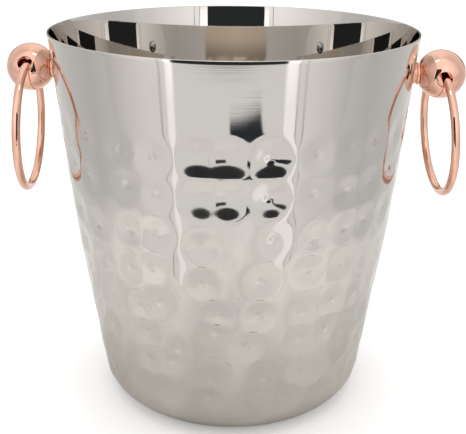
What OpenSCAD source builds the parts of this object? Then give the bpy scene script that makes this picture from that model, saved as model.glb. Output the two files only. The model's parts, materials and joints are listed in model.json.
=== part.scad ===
// Ice bucket: a hammered steel bucket with a copper-plated ball and ring handle on each side.
// Millimetres, +Z up. The origin is the middle of the ring that the bucket stands on.
// The handles stand on +X (right) and -X (left), and the front of the bucket faces -Y.

/* [Bucket] */
// Outer diameter of the rim
rim_d = 200; // [160:1:240]
// Height from the table to the rim
bucket_h = 207.5; // [180:0.5:250]
// Diameter that the straight taper would reach at the table
base_d = 148.5; // [120:0.5:170]
// Radius of the rounded corner between wall and base
corner_r = 18; // [10:0.5:26]
// How far the wall swells outside its straight taper
wall_bulge = 1.95; // [0:0.05:4]
// Thickness of the steel sheet
wall_t = 1.0; // [0.8:0.1:1.6]

/* [Base] */
// Height of the pressed-up panel in the middle of the base
kick_h = 2.5; // [1:0.5:5]
// Radius where the standing ring starts
stand_r = 48; // [36:1:52]
// Width of the slope between the panel and the standing ring
kick_w = 5; // [3:0.5:8]

/* [Handles] */
// Height of the ball centres above the table
handle_z = 184; // [170:0.5:190]
// Distance from the bucket's axis to each ball's centre
handle_reach = 113.4; // [112:0.1:118]
// Diameter of the solid ball
ball_d = 26.6; // [24:0.1:28]
// Diameter of the hole through the ball that holds the ring
hole_d = 8; // [7.8:0.1:9]
// Diameter of the collar between the ball and the wall
collar_d = 12.4; // [11:0.1:14]

/* [Rings] */
// Diameter of a ring measured along the middle of its wire
ring_d = 68.4; // [64:0.1:76]
// Diameter of the ring's wire
wire_d = 4.6; // [4:0.1:4.7]
// How far the middle of the wire sits above the hole's axis
ring_lift = 1.5; // [1.4:0.05:1.6]
// Turn of the left ball about its screw, front end of the hole up
left_turn = 18; // [-30:1:30]
// Turn of the right ball about its screw, front end of the hole up
right_turn = -3; // [-30:1:30]
// Skew of the left ring in its loose hole
left_skew = -5; // [-5:0.5:5]
// Skew of the right ring in its loose hole
right_skew = 4.5; // [-5:0.5:5]
// How far outwards the right ring hangs at rest
right_swing = 3; // [0:1:10]

/* [Fastening] */
// Shank diameter of the screw that holds a ball
screw_d = 5; // [4:0.5:5]
// Diameter of the button head
head_d = 9.5; // [8:0.1:10]
// Height of the button head
head_h = 2.75; // [2:0.05:3.5]
// Width across the flats of the socket in the head
socket_w = 3; // [2:0.5:4]
// Thickness of the spring washer
spring_washer_t = 1.2; // [1:0.1:1.6]
// Thickness of the sealing washer under the collar
seal_t = 0.5; // [0.4:0.1:1]
// Thinnest part of the backing pad inside the wall
pad_t = 1.4; // [1:0.1:2]

/* [Hidden] */

$fn = 96;
fine_fn = 720;
steel = [0.78, 0.78, 0.77];
screw_steel = [0.62, 0.62, 0.63];
copper = [0.86, 0.60, 0.50];
seal_grey = [0.85, 0.85, 0.82];

wall_steps = 16;
corner_steps = 7;
slack = 0.1;

rim_r = rim_d / 2;
base_r = base_d / 2;
ball_r = ball_d / 2;
taper = atan((rim_r - base_r) / bucket_h);
corner_x = base_r + corner_r * (tan(taper) - 1 / cos(taper));
wall_z0 = corner_r * (1 - sin(taper));
kick_slope = atan(kick_h / kick_w);

screw_hole_d = screw_d + 0.4;
shank_d = screw_d - slack;
seat_d = collar_d - 1.2;
seat_x = sqrt(pow(ball_r, 2) - pow(collar_d / 2, 2));
thread_depth = seat_x - hole_d / 2 - 1.2;
seat_at = handle_reach - seat_x;
groove_w = 0.8;
groove_depth = 0.9;
disc_t = 2;
pad_d = 11;
wall_at_handle = wall_r(handle_z);
pad_back = inner_r(handle_z - pad_d / 2) - pad_t;
pad_face = sqrt(pow(pad_back, 2) - pow(pad_d / 2, 2));
head_face = pad_face - spring_washer_t;

// The swell is a smooth hump: nothing at the corner and at the rim, most halfway up.
function swell(z) =
    let (u = (z - wall_z0) / (bucket_h - wall_z0))
    u <= 0 ? 0 : wall_bulge * 16 * pow(u, 2) * pow(1 - u, 2);
function wall_r(z) = base_r + z * tan(taper) + swell(z);
function inner_r(z) = wall_r(z) - wall_t / cos(taper);

// One face of the sheet from the middle of the base to the rim; inset is 0 outside, wall_t inside.
function base_line(inset) =
    let (shift = inset * tan(kick_slope / 2))
    [
        [0, kick_h + inset],
        [stand_r - kick_w + shift, kick_h + inset],
        [stand_r + shift, inset],
    ];
function corner_line(inset) = [
    for (i = [0 : corner_steps])
        let (a = -90 + (90 - taper) * i / corner_steps)
        [corner_x + (corner_r - inset) * cos(a), corner_r + (corner_r - inset) * sin(a)],
];
function wall_line(inset) =
    let (start = wall_z0 + inset * sin(taper))
    [
        for (i = [1 : wall_steps])
            let (z = start + (bucket_h - start) * i / wall_steps)
            [wall_r(z) - inset / cos(taper), z],
    ];
function sheet_line(inset) = concat(base_line(inset), corner_line(inset), wall_line(inset));
function backwards(points) = [for (i = [len(points) - 1 : -1 : 0]) points[i]];

// A round bar along X from one distance to another, at handle height.
module bar_x(d, from, to) {
    translate([from, 0, handle_z]) rotate([0, 90, 0]) cylinder(d = d, h = to - from);
}

// Everything inside the bucket's outer face, grown outwards by a margin.
module bucket_core(grow) {
    rotate_extrude($fn = fine_fn)
        polygon(concat(
            [[0, wall_z0]],
            [for (p = wall_line(0)) [p[0] + grow, p[1]]],
            [[0, bucket_h]]
        ));
}

// Left-hand pieces are the right-hand ones mirrored across the middle of the bucket.
module on_side(side) {
    mirror([side == "left" ? 1 : 0, 0, 0]) children();
}

function turn_of(side) = side == "left" ? left_turn : right_turn;
function skew_of(side) = side == "left" ? left_skew : right_skew;
function swing_of(side) = side == "left" ? 0 : right_swing;

// Frame of a ball: centre at the ball's centre, Y along the hole, X outwards.
module at_ball(side) {
    on_side(side)
        translate([handle_reach, 0, handle_z])
            rotate([-turn_of(side), 0, 0])
                children();
}

// One drawn sheet with a pressed-up base panel and a screw hole under each handle.
module bucket() {
    color(steel)
        difference() {
            rotate_extrude($fn = fine_fn)
                polygon(concat(sheet_line(0), backwards(sheet_line(wall_t))));
            for (side = ["left", "right"])
                on_side(side)
                    bar_x(screw_hole_d, wall_at_handle - 10, wall_at_handle + 10);
        }
}

// A turned ball with a flat seat towards the wall, a cross hole and a blind screw bore.
module ball(side) {
    color(copper)
        at_ball(side)
            difference() {
                rotate([0, 90, 0])
                    rotate_extrude()
                        intersection() {
                            circle(r = ball_r);
                            translate([0, -seat_x]) square([ball_r, seat_x + ball_r]);
                        }
                rotate([90, 0, 0])
                    cylinder(d = hole_d, h = 2 * ball_r, center = true);
                translate([-seat_x - 1, 0, 0])
                    rotate([0, 90, 0])
                        cylinder(d = screw_d, h = thread_depth + 1);
            }
}

// The collar is turned: a rounded disc at the ball, a groove, and a drum cut to fit the wall.
module collar(side) {
    r = collar_d / 2;
    inner = r - groove_depth;
    bead = disc_t / 2;
    color(copper)
        on_side(side)
            difference() {
                translate([seat_at, 0, handle_z])
                    rotate([0, -90, 0])
                        rotate_extrude()
                            union() {
                                square([r - bead, disc_t]);
                                translate([r - bead, bead]) circle(r = bead);
                                square([inner, disc_t + groove_w]);
                                translate([0, disc_t + groove_w])
                                    square([r - 0.3, seat_at - wall_at_handle + 3]);
                            }
                bucket_core(seal_t);
                bar_x(screw_hole_d, wall_at_handle - 10, wall_at_handle + 20);
            }
}

// A thin sealing washer, cut to the same curve as the wall.
module seal(side) {
    color(seal_grey)
        on_side(side)
            difference() {
                intersection() {
                    bar_x(seat_d, wall_at_handle - 10, wall_at_handle + 10);
                    bucket_core(seal_t);
                }
                bucket_core(0);
                bar_x(screw_hole_d, wall_at_handle - 10, wall_at_handle + 10);
            }
}

// A pad inside the wall: curved outside to fit the sheet, flat inside to carry the washer.
module backing_pad(side) {
    color(screw_steel)
        on_side(side)
            difference() {
                intersection() {
                    bar_x(pad_d, pad_face, wall_at_handle + 10);
                    bucket_core(-wall_t / cos(taper));
                }
                bar_x(screw_hole_d, pad_face - 1, wall_at_handle + 10);
            }
}

// A spring washer is cut through once so that it can spring.
module spring_washer(side) {
    gap = 0.8;
    color(screw_steel)
        on_side(side)
            difference() {
                bar_x(head_d - 0.3, head_face, pad_face);
                bar_x(screw_hole_d - 0.2, head_face - 1, pad_face + 1);
                translate([head_face - 1, -gap / 2, handle_z])
                    cube([spring_washer_t + 2, gap, head_d]);
            }
}

// Button head: a slice of a ball whose flat side bears on the spring washer.
module screw(side) {
    dome_r = (pow(head_d / 2, 2) + pow(head_h, 2)) / (2 * head_h);
    shank_end = seat_at + thread_depth - 0.5;
    socket_depth = 1.6;
    color(screw_steel)
        on_side(side)
            union() {
                difference() {
                    intersection() {
                        translate([head_face - head_h + dome_r, 0, handle_z]) sphere(r = dome_r);
                        bar_x(2 * dome_r, head_face - head_h - 1, head_face);
                    }
                    translate([head_face - head_h - 1, 0, handle_z])
                        rotate([0, 90, 0])
                            cylinder(d = socket_w / cos(30), h = socket_depth + 1, $fn = 6);
                }
                bar_x(shank_d, head_face, shank_end);
            }
}

// A closed wire ring that hangs through the ball.
module ring(side) {
    color(copper)
        at_ball(side)
            rotate([0, -swing_of(side), 0])
                rotate([0, 0, skew_of(side)])
                    translate([0, 0, ring_lift - ring_d / 2])
                        rotate([0, 90, 0])
                            rotate_extrude()
                                translate([ring_d / 2, 0]) circle(d = wire_d);
}

bucket();

ball("left");  // left_ball
collar("left");  // left_collar
seal("left");  // left_seal
backing_pad("left");  // left_backing_pad
spring_washer("left");  // left_spring_washer
screw("left");  // left_screw
ring("left");  // left_ring

ball("right");  // right_ball
collar("right");  // right_collar
seal("right");  // right_seal
backing_pad("right");  // right_backing_pad
spring_washer("right");  // right_spring_washer
screw("right");  // right_screw
ring("right");  // right_ring
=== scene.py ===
"""Ice bucket: the looks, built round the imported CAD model. Metres, +Z up, front towards -Y.

The steel bucket, the two balls, the collars and the rings are new surfaces, worked out with numpy on
grids of two parameters. Screws, washers, pads and seals stay as CAD nodes with better materials.
"""
import json
import math

import bpy
import numpy as np
from mathutils import Matrix, Vector


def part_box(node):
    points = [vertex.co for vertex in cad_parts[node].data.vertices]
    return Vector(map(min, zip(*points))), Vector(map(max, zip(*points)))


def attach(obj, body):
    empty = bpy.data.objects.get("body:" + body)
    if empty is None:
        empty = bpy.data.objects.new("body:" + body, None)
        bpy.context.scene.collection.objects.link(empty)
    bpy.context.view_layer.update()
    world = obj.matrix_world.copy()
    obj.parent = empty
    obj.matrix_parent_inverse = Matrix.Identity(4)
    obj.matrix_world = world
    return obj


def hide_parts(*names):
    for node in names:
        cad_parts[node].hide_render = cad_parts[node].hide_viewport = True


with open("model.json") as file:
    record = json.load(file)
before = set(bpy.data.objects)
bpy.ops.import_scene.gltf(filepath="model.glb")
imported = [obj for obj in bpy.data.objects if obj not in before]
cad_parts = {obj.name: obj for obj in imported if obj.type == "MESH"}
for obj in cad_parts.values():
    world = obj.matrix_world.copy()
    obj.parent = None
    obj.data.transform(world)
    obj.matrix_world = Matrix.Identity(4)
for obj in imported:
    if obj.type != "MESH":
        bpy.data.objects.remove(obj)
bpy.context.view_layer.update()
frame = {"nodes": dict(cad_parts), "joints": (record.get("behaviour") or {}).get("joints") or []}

MM = 0.001
TAU = 2 * math.pi

# ---------------------------------------------------------------- sizes: the frame's, the rest set to match
bucket_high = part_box("bucket")[1]
JOINTS = {joint["name"]: joint for joint in frame["joints"]}
BALL_CENTRE = {side: np.array(JOINTS[side + "_ring_swing"]["pos_m"]) for side in ("left", "right")}
HOLE_AXIS = {side: np.array(JOINTS[side + "_ring_swing"]["axis"]) for side in ("left", "right")}

RIM_R = float(bucket_high[0])
HEIGHT = float(bucket_high[2])
BASE_R = 74.25 * MM
CORNER_R = 18 * MM
SWELL = 1.95 * MM
SHEET = 1.0 * MM
KICK_H = 2.5 * MM
STAND_R = 48 * MM
KICK_W = 5 * MM
RIM_ROUND = 0.35 * MM

BALL_R = 13.3 * MM
HOLE_R = 4.0 * MM
HOLE_ROUND = 0.45 * MM
COLLAR_R = 6.2 * MM
SEAT_X = math.sqrt(BALL_R ** 2 - COLLAR_R ** 2)
SEAT_SOFT = 0.10 * MM
SEAL = 0.5 * MM
SCREW_HOLE_R = 2.7 * MM

RING_R = 34.2 * MM
WIRE_R = 2.3 * MM
RING_LIFT = 1.5 * MM
RING_SKEW = {"left": -5.0, "right": 4.5}
RING_SWING = {"left": 0.0, "right": 3.0}

TAPER = math.atan((RIM_R - BASE_R) / HEIGHT)
CORNER_X = BASE_R + CORNER_R * (math.tan(TAPER) - 1 / math.cos(TAPER))
WALL_Z0 = CORNER_R * (1 - math.sin(TAPER))

# Points along the half section (raised panel, its step, the ring it stands on, corner, wall, rim), the radius
# of the flat in its middle, and how far the step eases in and out beyond its width
CENTRE_R = 0.6 * MM
PANEL_POINTS = 6
KICK_POINTS = 10
KICK_EASE = 1.5 * MM
STAND_POINTS = 3
CORNER_POINTS = 16
WALL_POINTS = 134
RIM_POINTS = 9

# Hammer marks stand in upright columns (angle from the front, degrees) and rough rows (height, mm). The
# columns in front are listed one by one, the rest spaced evenly; one short column fills the widest space in
# front.
FRONT_COLUMNS = (-47.0, -31.0, -20.5, -6.0, 13.4, 27.3, 39.6, 50.8)
BACK_COLUMNS = tuple(np.linspace(63.0, 301.0, 20))
ROW_HEIGHTS = (161.0, 141.5, 118.5, 98.5, 77.0, 59.0, 40.0, 21.5)
SHORT_COLUMN = 1.4
SHORT_ROWS = 2
DENT_R = 12.5 * MM
DENT_DEPTH = 0.8 * MM
DENT_R_SPREAD = (0.9, 1.08)
DENT_DEPTH_SPREAD = (0.75, 1.25)
RIDGE_SHARPNESS = 7.0
MARK_SEED = 11

# How far a mark strays from its place: in the top row, and how much more in each row below (degrees, mm)
STRAY_ANGLE = (0.8, 0.35)
STRAY_HEIGHT = (1.0, 0.45)

# The marks struck hardest: column, then how much deeper than the rest in each of the first rows
STRUCK_HARD = {-6.0: (2.0, 2.15), 1.4: (2.0, 2.2), 13.4: (2.05, 2.1)}
HARD_SIZE = 1.1

# The pit in the middle of a mark: its radius, its depth in the sheet, and what the material adds to that.
# The hardest marks of these columns have none.
PIT_R = 3.0 * MM
PIT_DEPTH = 0.18 * MM
PIT_FINE = 0.16 * MM
NO_PIT = (-6.0, 1.4)

# Small dimples between the marks: how many, and their ranges of height, radius and depth (mm)
WAVE_COUNT = 420
WAVE_HEIGHTS = (12, 158)
WAVE_SIZES = (5, 10)
WAVE_DEPTHS = (-0.05, 0.09)
WAVE_SEED = 5

# The beating grows from nothing to full between these heights; widths round the base are measured at this
# radius at least; and a distance that is beyond every mark
BEATEN_FROM = 1.2 * MM
BEATEN_RISE = 9 * MM
LEAST_RADIUS = 25 * MM
FAR = 1.0

# How finely the sheet is drawn: columns round the outer face, and every how many of them the inner face keeps
SHELL_COLUMNS = 432
INNER_SKIP = 2

# How finely the handles are drawn
BALL_ROWS = 150
BALL_TURNS = 160
MOUTH_POINTS = 9
HOLE_POINTS = 16
RING_TURNS = 288
WIRE_TURNS = 48
COLLAR_TURNS = 120
BEAD_POINTS = 15

# The collar from its seat on the ball towards the wall: bead radius of the disc, groove, drum
BEAD_R = 1.0 * MM
GROOVE_R = COLLAR_R - 0.9 * MM
GROOVE_AT = (2.02 * MM, 2.4 * MM, 2.78 * MM)
DRUM_R = COLLAR_R - 0.3 * MM
DRUM_AT = 2.8 * MM
DRUM_EDGE = 0.25 * MM
DRUM_EDGE_MIDDLE = 0.07 * MM


# ---------------------------------------------------------------- colours and tones
# The steel's low tone is darker and warmer: painted shade, standing for the shadowed floor reflected near the
# base.
STEEL_LOW_SHADED = (0.575, 0.535, 0.493)
STEEL_HIGH = (0.635, 0.605, 0.575)
COPPER_DEEP = (0.91, 0.52, 0.385)
COPPER_PALE = (0.95, 0.60, 0.48)
SATIN_DARK = (0.55, 0.55, 0.55)
SATIN_LIGHT = (0.68, 0.68, 0.67)
NYLON_DARK = (0.70, 0.69, 0.66)
NYLON_LIGHT = (0.80, 0.79, 0.76)
# The reflected floor turns from the front colour to the darker back one: painted shade behind the bucket.
FLOOR_FRONT = (0.93, 0.92, 0.905)
FLOOR_BACK_SHADED = (0.78, 0.77, 0.755)
SWEEP_WHITE = (0.94, 0.94, 0.94)
WORLD_WHITE = (1.0, 0.995, 0.985)
WORLD_WARM = (0.98, 0.84, 0.70)
BOARD_WHITE = (1.0, 0.99, 0.98)
PLAIN_WHITE = (1.0, 1.0, 1.0)
BACKDROP_BLACK = (0.86, 0.94, 1.0)
CARD_NAVY = (0.6, 0.75, 1.0)

# The middle part of a noise texture's range, which holds nearly all of it
NOISE_SPAN = (0.35, 0.65)

# Steel: height over which it turns from the low tone to the high tone, the low tone being painted shade for
# the shadowed floor reflected near the base; roughness, and how much of the roughness and of the fine lines
# the inner face keeps
SHADE_HEIGHTS = (0.0, 0.09)
STEEL_ROUGHNESS = (0.05, 0.085)
CLOUD_SCALE = 28.0
INNER_ROUGHNESS = 0.25
INNER_LINES = 0.08

# Fine lines of the plain band: stretch of the noise, heights over which they come in, strength and depth
LINE_STRETCH = (6.0, 6.0, 7000.0)
LINE_HEIGHTS = (0.174, 0.188)
LINE_STRENGTHS = (0.01, 0.05)
LINE_DEPTH = 0.11 * MM

# Copper: roughness, noise scales of its clouds and of the ripple under the plate, ripple strength and depth
COPPER_ROUGHNESS = (0.04, 0.08)
COPPER_SPAN = (0.3, 0.7)
COPPER_CLOUDS = 60.0
RIPPLE_SCALE = 420.0
RIPPLE_STRENGTH = 0.05
RIPPLE_DEPTH = 0.05 * MM

# Fasteners and seals: noise scales and roughness
SATIN_GRAIN = 900.0
SATIN_ROUGHNESS = (0.2, 0.4)
NYLON_CLOUDS = 300.0
NYLON_ROUGHNESS = 0.45

# World brightness by angle away from the front, and by height above the horizon (degrees, factor)
SIDE_TONES = (
    (0, 0.95), (60, 0.92), (75, 0.74), (95, 0.65), (110, 0.68), (125, 0.72), (145, 0.80), (180, 0.90),
)
HEIGHT_TONES = (
    (-90, 0.50), (-65, 0.70), (-45, 0.93), (-30, 1.0), (0, 1.0), (20, 1.1), (60, 1.15), (90, 1.2),
)

# The dark and the warm zone behind the bucket: middle and half size as (round, up), soft edge (all in
# degrees), and how much of the light the dark zone takes away
DARK_ZONE = ((180, 4), (42, 8))
WARM_ZONE = ((180, 12), (42, 9))
ZONE_SOFT = 3
DARK_TAKES = 0.68

# The boards stand in one plane in front of the bucket. Brightness along them (metres from the middle,
# factor) and with height (metres, factor); then each upright part of them, left and right side in mm.
BOARD_Y = -178 * MM
BOARD_H = 0.4
BOARD_REACH = 1.0
BOARD_TONES = (
    (0, 0.96), (0.14, 0.96), (0.20, 0.88), (0.30, 0.79), (0.45, 0.70), (0.7, 0.66), (1.0, 0.58),
)
BOARD_LIFT = ((0, 0.98), (0.14, 1.0), (0.23, 1.3), (0.4, 1.4))
EDGE_LIFT = ((0, 0.9), (0.14, 1.0), (0.20, 1.5), (0.27, 1.0), (0.4, 0.95))
EDGE_TONES = ((0, 1.3), (BOARD_REACH, 1.3))
BOARD_SIDE_TONES = ((0, 0.95), (BOARD_REACH, 0.95))
SEAM_TONE = 0.25
BOARD_PARTS = (
    ("left_board", (-1000, -106), "board"),
    ("left_seam", (-106, -104), "seam"),
    ("left_side", (-104, -91), "side"),
    ("left_edge", (-91, -77), "edge"),
    ("right_edge", (86, 111), "edge"),
    ("right_inner_seam", (111, 113), "seam"),
    ("right_side", (113, 131), "side"),
    ("right_outer_seam", (131, 133), "seam"),
    ("right_board", (133, 1000), "board"),
)

# The other cards (mm): backdrop as left, right, bottom, top, Y; the two level ones as left, right, front,
# back, height
BACKDROP = (-580, 580, 0, 550, -560)
TABLE_CARD = (8, 150, -470, -385, 1)
LAMP = (-45, 45, -89, -40, 490)
DARK_TONE = 0.035
LAMP_TONE = 3.5

# The reflected floor: where its colour darkens towards the back (Y), a painted shade behind the bucket; where
# it fades out (distance), its half width, how far it lies below the table plane, and its mottle
FLOOR_SHADE_Y = (-110 * MM, 20 * MM)
FLOOR_FADES = (220 * MM, 360 * MM)
FLOOR_REACH = 370 * MM
FLOOR_DROP = 0.1 * MM
MOTTLE_SCALE = 16.0
MOTTLE_TONES = (0.82, 1.0)

# The sweep the camera sees: flat out to this radius, a quarter circle, then a wall up to this height (m)
SWEEP_FLAT = 3.0
SWEEP_BEND = 1.0
SWEEP_TOP = 2.5
SWEEP_TURNS = 96
SWEEP_DROP = 0.3 * MM
SWEEP_LIFT = 0.18

# Soft light from above: place, aim and size (m), power (W)
LIGHT_PLACE = (0, 0.3, 1.8)
LIGHT_AIM = (0, 0.1, 0)
LIGHT_SIZE = 1.8
LIGHT_POWER = 14

# The camera: how far round to the right, looking down, right side raised (degrees); distance from the
# axis and height (m); lens and sensor (mm)
CAMERA_AZIMUTH = 2.93
CAMERA_PITCH = 16.69
CAMERA_ROLL = 0.464
CAMERA_DISTANCE = 0.4516
CAMERA_HEIGHT = 0.2733
CAMERA_LENS = 64.0
CAMERA_SENSOR = 36.0
CAMERA_SHIFT = -0.144
CAMERA_NEAR = 0.01


# ---------------------------------------------------------------- mesh helpers
def grid_faces(rows, columns):
    """Quads between neighbouring points of a rows x columns grid whose columns go all the way round."""
    i, j = np.meshgrid(np.arange(rows - 1), np.arange(columns), indexing="ij")
    k = (j + 1) % columns
    quads = np.stack([i * columns + j, i * columns + k, (i + 1) * columns + k, (i + 1) * columns + j], -1)
    return quads.reshape(-1, 4)


def loop_faces(rows, columns, turned):
    """Quads of a grid that wraps round both ways; turned swaps the side that every face shows."""
    i, j = np.meshgrid(np.arange(rows), np.arange(columns), indexing="ij")
    n = (i + 1) % rows
    k = (j + 1) % columns
    quads = np.stack([i * columns + j, n * columns + j, n * columns + k, i * columns + k], -1)
    quads = quads.reshape(-1, 4)
    return quads[:, ::-1] if turned else quads


def make_piece(name, points, quads, material, extra_faces=()):
    """Puts whole arrays into a mesh: points (n, 3) and quads (m, 4), then smooth shading and a material."""
    mesh = bpy.data.meshes.new(name)
    faces = [tuple(map(int, face)) for face in [*quads, *extra_faces]]
    mesh.from_pydata(np.asarray(points, float).tolist(), [], faces)
    mesh.polygons.foreach_set("use_smooth", np.ones(len(mesh.polygons), bool))
    mesh.materials.append(material)
    mesh.validate()
    mesh.update()
    piece = bpy.data.objects.new(name, mesh)
    bpy.context.scene.collection.objects.link(piece)
    return piece


def turn_about(axis, degrees):
    """Rotation matrix about a unit axis by the right-hand rule (Rodrigues' formula)."""
    x, y, z = axis
    a = math.radians(degrees)
    cross = np.array([[0, -z, y], [z, 0, -x], [-y, x, 0]])
    return np.eye(3) + math.sin(a) * cross + (1 - math.cos(a)) * cross @ cross


# ---------------------------------------------------------------- bucket
def wall_radius(z):
    """Straight taper from the base radius, plus a smooth hump, 16 u^2 (1 - u)^2, highest halfway up."""
    u = np.clip((z - WALL_Z0) / (HEIGHT - WALL_Z0), 0, 1)
    return BASE_R + z * math.tan(TAPER) + SWELL * 16 * u ** 2 * (1 - u) ** 2


def outer_profile():
    """Half section (radius, height) of the sheet's outer face, from the middle of the base to under the rim.

    A flat raised panel, a smooth step t^2 (3 - 2 t) down to the ring it stands on, an arc for the corner,
    then the wall.
    """
    panel_r = np.linspace(CENTRE_R, STAND_R - KICK_W - 2 * MM, PANEL_POINTS)
    panel = np.stack([panel_r, np.full(PANEL_POINTS, KICK_H)], -1)
    t = np.linspace(0, 1, KICK_POINTS)
    ease = t * t * (3 - 2 * t)
    kick_r = STAND_R - KICK_W - KICK_EASE + t * (KICK_W + 2 * KICK_EASE)
    kick = np.stack([kick_r, KICK_H * (1 - ease)], -1)
    stand_r = np.linspace(STAND_R + 3 * MM, CORNER_X - 1 * MM, STAND_POINTS)
    stand = np.stack([stand_r, np.zeros(STAND_POINTS)], -1)
    a = np.linspace(-math.pi / 2, -TAPER, CORNER_POINTS)
    corner = np.stack([CORNER_X + CORNER_R * np.cos(a), CORNER_R + CORNER_R * np.sin(a)], -1)
    z = np.linspace(WALL_Z0, HEIGHT - RIM_ROUND, WALL_POINTS)[1:]
    wall = np.stack([wall_radius(z), z], -1)
    return np.vstack([panel, kick, stand, corner, wall])


def profile_normals(profile):
    """Outward normals of the half section: its direction of travel turned a quarter turn clockwise."""
    d = np.gradient(profile, axis=0)
    d /= np.linalg.norm(d, axis=1, keepdims=True)
    normal = np.stack([d[:, 1], -d[:, 0]], -1)
    normal[0] = normal[1]
    return normal


def hammer_marks():
    """Angle, height, radius, depth and whether it is pitted, for each hammer mark.

    The lower a mark stands, the further it strays from its place; the marks struck hardest stay in theirs.
    """
    rng = np.random.default_rng(MARK_SEED)
    columns = FRONT_COLUMNS + BACK_COLUMNS
    places = [(angle, row, z) for angle in columns for row, z in enumerate(ROW_HEIGHTS)]
    places += [(SHORT_COLUMN, row, z) for row, z in enumerate(ROW_HEIGHTS[:SHORT_ROWS])]
    marks = []
    for angle, row, z in places:
        moved = angle + rng.normal(0, STRAY_ANGLE[0] + STRAY_ANGLE[1] * row)
        lifted = z + rng.normal(0, STRAY_HEIGHT[0] + STRAY_HEIGHT[1] * row)
        size = DENT_R * rng.uniform(*DENT_R_SPREAD)
        depth = DENT_DEPTH * rng.uniform(*DENT_DEPTH_SPREAD)
        hard = STRUCK_HARD.get(angle, ())
        if row < len(hard):
            moved = angle
            lifted = z
            size = DENT_R * HARD_SIZE
            depth = DENT_DEPTH * hard[row]
        pitted = angle not in NO_PIT or row >= len(hard)
        marks.append((math.radians(moved), lifted * MM, size, depth, pitted))
    return marks


def small_waves():
    """Angle, height, radius and depth (some outwards) of the small dimples left between the marks."""
    rng = np.random.default_rng(WAVE_SEED)
    angle = rng.uniform(0, TAU, WAVE_COUNT)
    z = rng.uniform(*WAVE_HEIGHTS, WAVE_COUNT) * MM
    size = rng.uniform(*WAVE_SIZES, WAVE_COUNT) * MM
    depth = rng.uniform(*WAVE_DEPTHS, WAVE_COUNT) * MM
    return zip(angle, z, size, depth)


def hammered(angle, along, radius):
    """How far the sheet is beaten inwards at each grid point, and its offset from the nearest pitted mark.

    A mark is a bowl: depth times (1 - d^2 / size^2)^2 within its size. Where marks overlap they are joined by
    a soft maximum, sum(h (e^(k h) - 1)) / (1 + sum(e^(k h) - 1)), so that a rounded ridge is left between
    neighbours. Added to that are a pit in the middle of each pitted mark, its depth times t^2 (3 - 2 t) with
    t falling from 1 in the middle to 0 at the pit's radius, and small waves of the same shape as the marks.
    """
    total = np.zeros_like(angle)
    weight = np.ones_like(angle)
    nearest = np.full_like(angle, FAR)
    pits = np.zeros_like(angle)
    offset = np.zeros(angle.shape + (2,))
    sharp = RIDGE_SHARPNESS / DENT_DEPTH
    for mark_angle, mark_z, size, depth, pitted in hammer_marks():
        across = ((angle - mark_angle + math.pi) % TAU - math.pi) * radius
        up = along - mark_z
        d2 = across ** 2 + up ** 2
        bowl = depth * (1 - np.minimum(d2 / size ** 2, 1)) ** 2
        total += bowl * (np.exp(bowl * sharp) - 1)
        weight += np.exp(bowl * sharp) - 1
        t = np.clip(1 - np.sqrt(d2) / PIT_R, 0, 1) * pitted
        pits += PIT_DEPTH * t ** 2 * (3 - 2 * t)
        closer = (d2 < nearest) & pitted
        nearest = np.where(closer, d2, nearest)
        offset = np.where(closer[..., None], np.stack([across, up], -1), offset)
    total = total / weight + pits
    for wave_angle, wave_z, size, depth in small_waves():
        across = ((angle - wave_angle + math.pi) % TAU - math.pi) * radius
        d2 = (across ** 2 + (along - wave_z) ** 2) / size ** 2
        total += depth * (1 - np.minimum(d2, 1)) ** 2
    return total, offset


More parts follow.
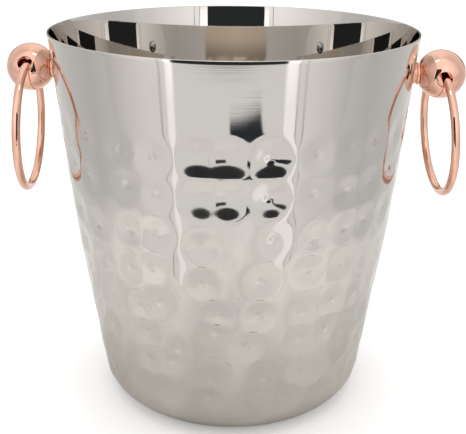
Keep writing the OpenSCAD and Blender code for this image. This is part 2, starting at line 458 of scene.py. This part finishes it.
def bucket_shell(material):
    """The hammered sheet: a half section carried round the axis, both faces beaten in together, rim rounded.

    A point is (r sin a, -r cos a, z) with (r, z) = profile - normal * (inset + depth), inset 0 outside and
    the sheet's thickness inside. The rim is half an ellipse between the two faces. The inner face keeps every
    second row and column and is joined to the rim by five-sided faces. Each point stores its offset from the
    nearest pitted mark, with +1 on the inner and -1 on the outer face, for the material's part of the pits.
    """
    profile = outer_profile()
    normal = profile_normals(profile)
    step = np.linalg.norm(np.diff(profile, axis=0), axis=1)
    run = np.concatenate([[0], np.cumsum(step)])
    along = (run - run[-1] + HEIGHT)[:, None]
    angle = np.tile(np.arange(SHELL_COLUMNS) / SHELL_COLUMNS * TAU, (len(profile), 1))
    radius = np.maximum(profile[:, :1], LEAST_RADIUS) + 0 * angle
    depth, offset = hammered(angle, along + 0 * angle, radius)
    fade = np.clip((profile[:, 1] - BEATEN_FROM) / BEATEN_RISE, 0, 1)
    depth *= (fade ** 2 * (3 - 2 * fade))[:, None]

    def face(inset):
        """One face of the sheet as a grid of points, this far inside the outer one."""
        r = profile[:, :1] - normal[:, :1] * (inset + depth)
        z = profile[:, 1:] - normal[:, 1:] * (inset + depth)
        return np.stack([r * np.sin(angle), -r * np.cos(angle), z + 0 * angle], -1)

    turn = np.linspace(0, math.pi, RIM_POINTS)[1:-1, None]
    middle = profile[-1] - normal[-1] * SHEET / 2
    rim_r = middle[0] + SHEET / 2 * np.cos(turn)
    rim_z = middle[1] + RIM_ROUND * np.sin(turn)
    around = angle[:len(turn)]
    rim = np.stack([rim_r * np.sin(around), -rim_r * np.cos(around), rim_z + 0 * around], -1)

    outer = np.concatenate([face(0.0), rim])
    inner = face(SHEET)[::-1][::INNER_SKIP, ::INNER_SKIP]
    inner[0, :, 2] = outer[len(profile) - 1, ::INNER_SKIP, 2]
    few = SHELL_COLUMNS // INNER_SKIP
    start = outer.shape[0] * SHELL_COLUMNS
    quads = np.vstack([grid_faces(len(outer), SHELL_COLUMNS), grid_faces(len(inner), few) + start])
    last = start - SHELL_COLUMNS
    m = np.arange(few)
    above = [last + 2 * m, last + 2 * m + 1, last + (2 * m + 2) % SHELL_COLUMNS]
    below = [start + (m + 1) % few, start + m]
    joint = np.stack(above + below, -1).tolist()
    bottom = range(SHELL_COLUMNS - 1, -1, -1)
    inside = range(start + (len(inner) - 1) * few, start + len(inner) * few)
    extra = joint + [bottom, inside]
    points = np.vstack([outer.reshape(-1, 3), inner.reshape(-1, 3)])
    piece = make_piece("hammered_bucket", points, quads, material, extra)

    away = np.full((len(rim), SHELL_COLUMNS, 2), FAR)
    beside = np.concatenate([offset, away]).reshape(-1, 2)
    within = offset[::-1][::INNER_SKIP, ::INNER_SKIP].reshape(-1, 2)
    sign = np.concatenate([np.full(len(beside), -1.0), np.full(len(within), 1.0)])
    values = np.column_stack([np.vstack([beside, within]), sign])
    marked = piece.data.attributes.new("from_mark", "FLOAT_VECTOR", "POINT")
    marked.data.foreach_set("vector", values.ravel())
    return piece


# ---------------------------------------------------------------- handles
def side_sign(side):
    """Which way along X a handle points."""
    return -1.0 if side == "left" else 1.0


def ball_frame(side):
    """Unit vectors of a ball: outwards from the bucket, along its hole to the back, and across both."""
    out = np.array([side_sign(side), 0.0, 0.0])
    along = HOLE_AXIS[side] * (1 if HOLE_AXIS[side][1] > 0 else -1)
    up = np.cross([1.0, 0.0, 0.0], along)
    return out, along, up


def ball(side, material):
    """A ball turned about its hole: hole wall, rounded mouth, sphere, rounded mouth, closed into a ring.

    The side towards the bucket is pressed flat with a soft edge where it seats on the collar: x becomes
    x + (o + sqrt(o^2 + s^2)) / 2, where o is how far a point lies beyond the seat.
    """
    mouth = math.asin((HOLE_R + HOLE_ROUND) / (BALL_R - HOLE_ROUND))
    lat = np.linspace(mouth, math.pi - mouth, BALL_ROWS)
    sphere = np.stack([BALL_R * np.sin(lat), BALL_R * np.cos(lat)], -1)
    centre = np.array([HOLE_R + HOLE_ROUND, (BALL_R - HOLE_ROUND) * math.cos(mouth)])
    a = np.linspace(math.pi, math.pi / 2 - mouth, MOUTH_POINTS)[:-1]
    top = centre + HOLE_ROUND * np.stack([np.cos(a), np.sin(a)], -1)
    bottom = (top * [1, -1])[::-1]
    wall_y = np.linspace(-centre[1], centre[1], HOLE_POINTS)[1:-1]
    wall = np.stack([np.full_like(wall_y, HOLE_R), wall_y], -1)
    loop = np.vstack([top, sphere, bottom, wall])
    v = np.arange(BALL_TURNS) / BALL_TURNS * TAU
    r = loop[:, :1]
    y = loop[:, 1:] + 0 * v
    x = r * np.cos(v)
    z = r * np.sin(v)
    over = -x - SEAT_X
    x = x + (over + np.sqrt(over ** 2 + SEAT_SOFT ** 2)) / 2
    out, along, up = ball_frame(side)
    points = BALL_CENTRE[side] + x[..., None] * out + y[..., None] * along + z[..., None] * up
    quads = loop_faces(len(loop), BALL_TURNS, side == "right")
    return make_piece(side + "_ball_polished", points.reshape(-1, 3), quads, material)


def ring(side, material):
    """A torus: a circle of wire carried round a bigger one, lifted, skewed, swung and set into its hole.

    (x, y, z) = (w sin v, (R + w cos v) cos u, (R + w cos v) sin u + lift - R), then turned.
    """
    u = np.arange(RING_TURNS)[:, None] / RING_TURNS * TAU
    v = np.arange(WIRE_TURNS)[None] / WIRE_TURNS * TAU
    reach = RING_R + WIRE_R * np.cos(v)
    x = WIRE_R * np.sin(v) + 0 * u
    y = reach * np.cos(u)
    z = reach * np.sin(u) + RING_LIFT - RING_R
    local = np.stack([x, y, z], -1)
    local = local @ turn_about((0, 0, 1), RING_SKEW[side]).T
    local = local @ turn_about((0, 1, 0), -RING_SWING[side]).T
    out, along, up = ball_frame(side)
    points = BALL_CENTRE[side] + local[..., :1] * out + local[..., 1:2] * along + local[..., 2:] * up
    quads = loop_faces(RING_TURNS, WIRE_TURNS, side == "left")
    return make_piece(side + "_ring_polished", points.reshape(-1, 3), quads, material)


def collar(side, material):
    """A turned collar: rounded disc, groove and drum, its far end cut to the bucket's wall.

    A line of (radius, distance from the ball's seat) is turned about X. At the far end x is
    sqrt((wall + seal)^2 - y^2), with the wall's radius taken at each point's own height.
    """
    a = np.linspace(math.pi / 2, -math.pi / 2, BEAD_POINTS)
    disc = np.stack([COLLAR_R - BEAD_R + BEAD_R * np.cos(a), BEAD_R - BEAD_R * np.sin(a)], -1)
    shape = np.vstack([
        [[SCREW_HOLE_R, 0.0]],
        disc,
        [[GROOVE_R, at] for at in GROOVE_AT],
        [[DRUM_R - DRUM_EDGE, DRUM_AT]],
        [[DRUM_R - DRUM_EDGE_MIDDLE, DRUM_AT + DRUM_EDGE_MIDDLE]],
        [[DRUM_R, DRUM_AT + DRUM_EDGE]],
    ])
    v = np.arange(COLLAR_TURNS) / COLLAR_TURNS * TAU
    zc = BALL_CENTRE[side][2]
    seat = BALL_CENTRE[side][0] * side_sign(side) - SEAT_X
    r = shape[:, :1] + 0 * v
    x = seat - shape[:, 1:] + 0 * v

    def wall_x(radius):
        """Where a tube of this radius meets the outer face of the seal."""
        y = radius * np.cos(v)
        z = zc + radius * np.sin(v)
        return np.sqrt((wall_radius(z) + SEAL) ** 2 - y ** 2)

    end_r = np.array([DRUM_R, SCREW_HOLE_R])
    r = np.vstack([r, end_r[:, None] + 0 * v])
    x = np.vstack([x, wall_x(DRUM_R), wall_x(SCREW_HOLE_R)])
    points = np.stack([side_sign(side) * x, r * np.cos(v), zc + r * np.sin(v)], -1)
    quads = loop_faces(len(points), COLLAR_TURNS, side == "left")
    return make_piece(side + "_collar_turned", points.reshape(-1, 3), quads, material)


# ---------------------------------------------------------------- materials
def new_material(name):
    """An empty node material with its shader and output; returns the material, its tree and the shader."""
    material = bpy.data.materials.new(name)
    material.use_nodes = True
    tree = material.node_tree
    tree.nodes.clear()
    shader = tree.nodes.new("ShaderNodeBsdfPrincipled")
    output = tree.nodes.new("ShaderNodeOutputMaterial")
    tree.links.new(shader.outputs["BSDF"], output.inputs["Surface"])
    return material, tree, shader


def node(tree, kind, **values):
    """Adds a node and sets its inputs by name."""
    made = tree.nodes.new(kind)
    for key, value in values.items():
        made.inputs[key.replace("_", " ")].default_value = value
    return made


def maths(tree, operation, first, second=None, third=None):
    """A maths node; each input is a number or another node's output. Returns its output."""
    made = tree.nodes.new("ShaderNodeMath")
    made.operation = operation
    for socket, value in zip(made.inputs, (first, second, third)):
        if isinstance(value, (int, float)):
            socket.default_value = value
        elif value is not None:
            tree.links.new(value, socket)
    return made.outputs["Value"]


def object_coords(tree):
    """A piece's own coordinates."""
    return tree.nodes.new("ShaderNodeTexCoord").outputs["Object"]


def split_vector(tree, vector):
    """The three parts of a vector."""
    made = tree.nodes.new("ShaderNodeSeparateXYZ")
    tree.links.new(vector, made.inputs["Vector"])
    return made.outputs


def mix_colour(tree, factor, low, high):
    """Blends two colours by a factor socket; returns the blended colour."""
    made = tree.nodes.new("ShaderNodeMix")
    made.data_type = "RGBA"
    made.inputs["A"].default_value = (*low, 1)
    made.inputs["B"].default_value = (*high, 1)
    tree.links.new(factor, made.inputs["Factor"])
    return made.outputs["Result"]


def map_range(tree, value, from_range, to_range, smooth=False):
    """Carries a value from one range to another, clamped, straight or with a smooth step."""
    made = tree.nodes.new("ShaderNodeMapRange")
    made.interpolation_type = "SMOOTHSTEP" if smooth else "LINEAR"
    made.inputs["From Min"].default_value, made.inputs["From Max"].default_value = from_range
    made.inputs["To Min"].default_value, made.inputs["To Max"].default_value = to_range
    tree.links.new(value, made.inputs["Value"])
    return made.outputs["Result"]


def noise(tree, vector, scale, detail):
    """A noise texture read at a vector; returns its grey value."""
    made = node(tree, "ShaderNodeTexNoise", Scale=scale, Detail=detail)
    tree.links.new(vector, made.inputs["Vector"])
    return made.outputs["Fac"]


def hammered_steel():
    """Polished stainless steel with fine lines round the plain band at the top, darker and warmer low down as
    painted shade: the shadowed floor that the base reflects.

    The pit in the middle of a hammer mark is already in the sheet. The material sharpens it, as a bowl that
    falls with a smooth step from the middle to the pit's radius, read from the offset stored on the mesh.
    The inner face, where the stored side is 1, is polished brighter than the outer one.
    """
    material, tree, shader = new_material("hammered_polished_steel")
    shader.inputs["Metallic"].default_value = 1.0
    coords = object_coords(tree)
    height = split_vector(tree, coords)["Z"]
    # Painted shade: the base colour darkens and warms towards the bottom, standing for the reflected shadowed
    # floor.
    rise = map_range(tree, height, SHADE_HEIGHTS, (0, 1), True)
    tree.links.new(mix_colour(tree, rise, STEEL_LOW_SHADED, STEEL_HIGH), shader.inputs["Base Color"])

    stored = tree.nodes.new("ShaderNodeAttribute")
    stored.attribute_name = "from_mark"
    across, up, side = split_vector(tree, stored.outputs["Vector"])

    cloud = noise(tree, coords, CLOUD_SCALE, 4.0)
    haze = map_range(tree, cloud, NOISE_SPAN, STEEL_ROUGHNESS)
    haze = maths(tree, "MULTIPLY", haze, map_range(tree, side, (-1, 1), (1, INNER_ROUGHNESS)))
    tree.links.new(haze, shader.inputs["Roughness"])

    stretched = tree.nodes.new("ShaderNodeMapping")
    stretched.inputs["Scale"].default_value = LINE_STRETCH
    tree.links.new(coords, stretched.inputs["Vector"])
    grain = noise(tree, stretched.outputs["Vector"], 1.0, 3.0)
    strength = map_range(tree, height, LINE_HEIGHTS, LINE_STRENGTHS)
    strength = maths(tree, "MULTIPLY", strength, map_range(tree, side, (-1, 1), (1, INNER_LINES)))
    lines = node(tree, "ShaderNodeBump", Distance=LINE_DEPTH)
    tree.links.new(strength, lines.inputs["Strength"])
    tree.links.new(grain, lines.inputs["Height"])

    square = maths(tree, "MULTIPLY_ADD", up, up, maths(tree, "MULTIPLY", across, across))
    bowl = map_range(tree, maths(tree, "SQRT", square), (0.0, PIT_R), (1, 0), True)
    pit = node(tree, "ShaderNodeBump", Strength=1.0, Distance=PIT_FINE)
    tree.links.new(maths(tree, "MULTIPLY", bowl, side), pit.inputs["Height"])
    tree.links.new(lines.outputs["Normal"], pit.inputs["Normal"])
    tree.links.new(pit.outputs["Normal"], shader.inputs["Normal"])
    return material


def copper_plate():
    """Rose-copper plating, highly polished, with a faint ripple under the plate."""
    material, tree, shader = new_material("polished_rose_copper")
    shader.inputs["Metallic"].default_value = 1.0
    coords = object_coords(tree)
    cloud = noise(tree, coords, COPPER_CLOUDS, 3.0)
    tree.links.new(mix_colour(tree, cloud, COPPER_DEEP, COPPER_PALE), shader.inputs["Base Color"])
    tree.links.new(map_range(tree, cloud, COPPER_SPAN, COPPER_ROUGHNESS), shader.inputs["Roughness"])
    bump = node(tree, "ShaderNodeBump", Strength=RIPPLE_STRENGTH, Distance=RIPPLE_DEPTH)
    tree.links.new(noise(tree, coords, RIPPLE_SCALE, 1.0), bump.inputs["Height"])
    tree.links.new(bump.outputs["Normal"], shader.inputs["Normal"])
    return material


def plain_stainless():
    """Satin stainless steel for screws, washers and pads, with a fine grain."""
    material, tree, shader = new_material("satin_stainless")
    shader.inputs["Metallic"].default_value = 1.0
    grain = noise(tree, object_coords(tree), SATIN_GRAIN, 2.0)
    tree.links.new(mix_colour(tree, grain, SATIN_DARK, SATIN_LIGHT), shader.inputs["Base Color"])
    tree.links.new(map_range(tree, grain, (0, 1), SATIN_ROUGHNESS), shader.inputs["Roughness"])
    return material


def seal_nylon():
    """Milky nylon with faint clouds in it, for the seals."""
    material, tree, shader = new_material("milky_nylon")
    cloud = noise(tree, object_coords(tree), NYLON_CLOUDS, 2.0)
    tree.links.new(mix_colour(tree, cloud, NYLON_DARK, NYLON_LIGHT), shader.inputs["Base Color"])
    shader.inputs["Roughness"].default_value = NYLON_ROUGHNESS
    return material


def matt_white(name, colour, lift):
    """Matt white for the studio floor, which may give some light; returns material, tree and shader."""
    material, tree, shader = new_material(name)
    shader.inputs["Base Color"].default_value = (*colour, 1)
    shader.inputs["Roughness"].default_value = 0.9
    shader.inputs["Emission Color"].default_value = (1, 1, 1, 1)
    shader.inputs["Emission Strength"].default_value = lift
    return material, tree, shader


# ---------------------------------------------------------------- studio
def ramp(tree, value, low, high, stops):
    """Brightness along a value between low and high, from (value, brightness) stops."""
    made = tree.nodes.new("ShaderNodeValToRGB")
    share = maths(tree, "DIVIDE", maths(tree, "SUBTRACT", value, low), high - low)
    tree.links.new(share, made.inputs["Fac"])
    points = made.color_ramp.elements
    while len(points) < len(stops):
        points.new(0.5)
    for point, (at, grey) in zip(points, stops):
        point.position = (at - low) / (high - low)
        point.color = (grey, grey, grey, 1)
    return made.outputs["Color"]


def patch(tree, azimuth, elevation, centre, half, soft):
    """One inside a patch of directions and nothing outside it, with a soft edge; all in degrees."""
    parts = []
    for value, middle, reach in zip((azimuth, elevation), centre, half):
        away = maths(tree, "ABSOLUTE", maths(tree, "SUBTRACT", value, middle))
        parts.append(map_range(tree, away, (reach + soft, reach - soft), (0, 1), True))
    return maths(tree, "MULTIPLY", *parts)


def studio_world():
    """Soft light from all round: dimmer to the sides, and a low dark and warm zone behind the bucket."""
    world = bpy.data.worlds.new("studio_white")
    bpy.context.scene.world = world
    world.use_nodes = True
    tree = world.node_tree
    back = tree.nodes["Background"]
    direction = tree.nodes.new("ShaderNodeTexCoord").outputs["Generated"]
    x, y, z = split_vector(tree, direction)
    turned = maths(tree, "ARCTAN2", x, maths(tree, "MULTIPLY", y, -1))
    azimuth = maths(tree, "ABSOLUTE", maths(tree, "MULTIPLY", turned, math.degrees(1)))
    elevation = maths(tree, "MULTIPLY", maths(tree, "ARCSINE", z), math.degrees(1))
    tone = ramp(tree, azimuth, 0, 180, SIDE_TONES)
    tone = maths(tree, "MULTIPLY", tone, ramp(tree, elevation, -90, 90, HEIGHT_TONES))
    shade = patch(tree, azimuth, elevation, *DARK_ZONE, ZONE_SOFT)
    tone = maths(tree, "MULTIPLY", tone, maths(tree, "MULTIPLY_ADD", shade, -DARK_TAKES, 1))
    tree.links.new(tone, back.inputs["Strength"])
    warm = patch(tree, azimuth, elevation, *WARM_ZONE, ZONE_SOFT)
    tree.links.new(mix_colour(tree, warm, WORLD_WHITE, WORLD_WARM), back.inputs["Color"])


def area_light(name, place, aim, size, power):
    """A soft square light at a place, aimed at a point, kept out of the reflections."""
    data = bpy.data.lights.new(name, "AREA")
    data.shape = "SQUARE"
    data.size = size
    data.energy = power
    light = bpy.data.objects.new(name, data)
    bpy.context.scene.collection.objects.link(light)
    light.location = place
    light.rotation_euler = (Vector(aim) - Vector(place)).to_track_quat("-Z", "Y").to_euler()
    light.visible_glossy = False


def staging(name, corners, material):
    """A flat four-sided piece of the studio, hidden from the camera, that neither lights nor shades."""
    mesh = bpy.data.meshes.new(name)
    mesh.from_pydata(corners, [], [(0, 1, 2, 3)])
    mesh.materials.append(material)
    made = bpy.data.objects.new(name, mesh)
    bpy.context.scene.collection.objects.link(made)
    made.visible_camera = False
    made.visible_diffuse = False
    made.visible_shadow = False


def glow(name, colour, strength, across_stops=None, up_stops=None):
    """Even light from a card, or light that changes along X and with height, by (metres, factor) stops."""
    material = bpy.data.materials.new(name)
    material.use_nodes = True
    tree = material.node_tree
    tree.nodes.clear()
    shader = tree.nodes.new("ShaderNodeEmission")
    output = tree.nodes.new("ShaderNodeOutputMaterial")
    tree.links.new(shader.outputs["Emission"], output.inputs["Surface"])
    shader.inputs["Color"].default_value = (*colour, 1)
    shader.inputs["Strength"].default_value = strength
    if across_stops:
        x, _, z = split_vector(tree, object_coords(tree))
        across = ramp(tree, maths(tree, "ABSOLUTE", x), 0, BOARD_REACH, across_stops)
        up = ramp(tree, z, 0, BOARD_H, up_stops)
        tree.links.new(maths(tree, "MULTIPLY", across, up), shader.inputs["Strength"])
    return material


def upright_card(name, place, material):
    """A card standing across the view, seen only in reflections: left, right, bottom, top and Y in mm."""
    left, right, bottom, top, y = np.array(place) * MM
    corners = [(left, y, bottom), (right, y, bottom), (right, y, top), (left, y, top)]
    staging(name, corners, material)


def flat_card(name, place, material):
    """A card lying level, seen only in reflections: left, right, front, back and height in mm."""
    left, right, front, back, z = np.array(place) * MM
    corners = [(left, front, z), (right, front, z), (right, back, z), (left, back, z)]
    staging(name, corners, material)


def reflection_cards():
    """What the polished metal sees: two white boards with bright edges, a dark gap and card, and a lamp."""
    finishes = {
        "board": glow("board_white", BOARD_WHITE, 1.0, BOARD_TONES, BOARD_LIFT),
        "edge": glow("board_edge", BOARD_WHITE, 1.0, EDGE_TONES, EDGE_LIFT),
        "side": glow("board_side", BOARD_WHITE, 1.0, BOARD_SIDE_TONES, BOARD_LIFT),
        "seam": glow("board_seam", PLAIN_WHITE, SEAM_TONE),
    }
    for name, (left, right), finish in BOARD_PARTS:
        upright_card(name, (left, right, 0, BOARD_H / MM, BOARD_Y / MM), finishes[finish])
    upright_card("dark_behind_gap", BACKDROP, glow("dark_backdrop", BACKDROP_BLACK, DARK_TONE))
    flat_card("dark_card_on_table", TABLE_CARD, glow("dark_blue_card", CARD_NAVY, DARK_TONE))
    flat_card("lamp_overhead", LAMP, glow("overhead_lamp", PLAIN_WHITE, LAMP_TONE))


def near_floor():
    """The floor as the metal reflects it: pale and mottled, darker behind as painted shade, fading out in a
    circle.
    """
    material, tree, shader = matt_white("floor_near", FLOOR_FRONT, 0.0)
    coords = object_coords(tree)
    # Painted shade: the floor's colour darkens from front to back, behind the bucket.
    behind = map_range(tree, split_vector(tree, coords)["Y"], FLOOR_SHADE_Y, (0, 1), True)
    plain = mix_colour(tree, behind, FLOOR_FRONT, FLOOR_BACK_SHADED)
    mottle = map_range(tree, noise(tree, coords, MOTTLE_SCALE, 2.0), NOISE_SPAN, MOTTLE_TONES)
    shade = tree.nodes.new("ShaderNodeVectorMath")
    shade.operation = "SCALE"
    tree.links.new(plain, shade.inputs[0])
    tree.links.new(mottle, shade.inputs["Scale"])
    tree.links.new(shade.outputs["Vector"], shader.inputs["Base Color"])
    clear = tree.nodes.new("ShaderNodeBsdfTransparent")
    blend = tree.nodes.new("ShaderNodeMixShader")
    distance = tree.nodes.new("ShaderNodeVectorMath")
    distance.operation = "LENGTH"
    tree.links.new(coords, distance.inputs[0])
    gone = map_range(tree, distance.outputs["Value"], FLOOR_FADES, (0, 1), True)
    tree.links.new(gone, blend.inputs["Fac"])
    tree.links.new(shader.outputs["BSDF"], blend.inputs[1])
    tree.links.new(clear.outputs["BSDF"], blend.inputs[2])
    output = next(one for one in tree.nodes if one.type == "OUTPUT_MATERIAL")
    tree.links.new(blend.outputs["Shader"], output.inputs["Surface"])
    signs = ((-1, -1), (1, -1), (1, 1), (-1, 1))
    corners = [(x * FLOOR_REACH, y * FLOOR_REACH, -FLOOR_DROP) for x, y in signs]
    staging("floor_near", corners, material)


def sweep():
    """A pale round sweep for the camera: a flat floor that curves up into a wall all round.

    A line of (radius, height) is turned about the axis: flat, then a quarter circle, then straight up.
    """
    flat = np.array([[1 * MM, 0.0], [SWEEP_FLAT / 3, 0.0], [SWEEP_FLAT * 2 / 3, 0.0], [SWEEP_FLAT, 0.0]])
    a = np.linspace(0, math.pi / 2, 17)[1:]
    bend = np.stack([SWEEP_FLAT + SWEEP_BEND * np.sin(a), SWEEP_BEND - SWEEP_BEND * np.cos(a)], -1)
    wall = np.array([[SWEEP_FLAT + SWEEP_BEND, SWEEP_TOP]])
    line = np.vstack([flat, bend, wall])
    turn = np.arange(SWEEP_TURNS)[None] / SWEEP_TURNS * TAU
    r = line[:, :1]
    z = line[:, 1:] + 0 * turn - SWEEP_DROP
    points = np.stack([r * np.sin(turn), r * np.cos(turn), z], -1).reshape(-1, 3)
    quads = grid_faces(len(line), SWEEP_TURNS)[:, ::-1]
    material, _, _ = matt_white("sweep_white", SWEEP_WHITE, SWEEP_LIFT)
    made = make_piece("studio_sweep", points, quads, material, [range(SWEEP_TURNS)])
    made.visible_glossy = False
    made.visible_diffuse = False
    made.visible_shadow = False


def studio():
    """Pale floor, soft light and the cards that shape the reflections."""
    studio_world()
    sweep()
    near_floor()
    reflection_cards()
    area_light("top_soft", LIGHT_PLACE, LIGHT_AIM, LIGHT_SIZE, LIGHT_POWER)


# ---------------------------------------------------------------- camera
def camera():
    """A 64 mm lens from the front, a little right of the middle and above the rim, looking down."""
    azimuth = math.radians(CAMERA_AZIMUTH)
    pitch = math.radians(CAMERA_PITCH)
    roll = math.radians(CAMERA_ROLL)
    ahead = np.array([-math.sin(azimuth), math.cos(azimuth), 0.0])
    forward = ahead * math.cos(pitch) - np.array([0.0, 0.0, math.sin(pitch)])
    level = np.array([math.cos(azimuth), math.sin(azimuth), 0.0])
    over = np.cross(level, forward)
    across = level * math.cos(roll) + over * math.sin(roll)
    rise = -level * math.sin(roll) + over * math.cos(roll)
    data = bpy.data.cameras.new("camera")
    data.lens = CAMERA_LENS
    data.sensor_width = CAMERA_SENSOR
    data.shift_y = CAMERA_SHIFT
    data.clip_start = CAMERA_NEAR
    made = bpy.data.objects.new("camera", data)
    bpy.context.scene.collection.objects.link(made)
    turn = Matrix(np.column_stack([across, rise, -forward]).tolist()).to_4x4()
    turn.translation = (*(-CAMERA_DISTANCE * ahead)[:2], CAMERA_HEIGHT)
    made.matrix_world = turn
    bpy.context.scene.camera = made


# ---------------------------------------------------------------- build
camera()
studio()
bpy.context.scene.view_settings.view_transform = "Standard"

steel = hammered_steel()
copper = copper_plate()
fastener = plain_stainless()
nylon = seal_nylon()

shell = bucket_shell(steel)
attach(shell, "bucket_body")
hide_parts("bucket")

for side in ("left", "right"):
    made = ball(side, copper)
    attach(made, "bucket_body")
    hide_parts(side + "_ball")

    made = collar(side, copper)
    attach(made, "bucket_body")
    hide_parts(side + "_collar")

    made = ring(side, copper)
    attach(made, side + "_ring_body")
    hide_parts(side + "_ring")

    for part in ("backing_pad", "spring_washer", "screw"):
        frame["nodes"][f"{side}_{part}"].material_slots[0].material = fastener
    frame["nodes"][side + "_seal"].material_slots[0].material = nylon
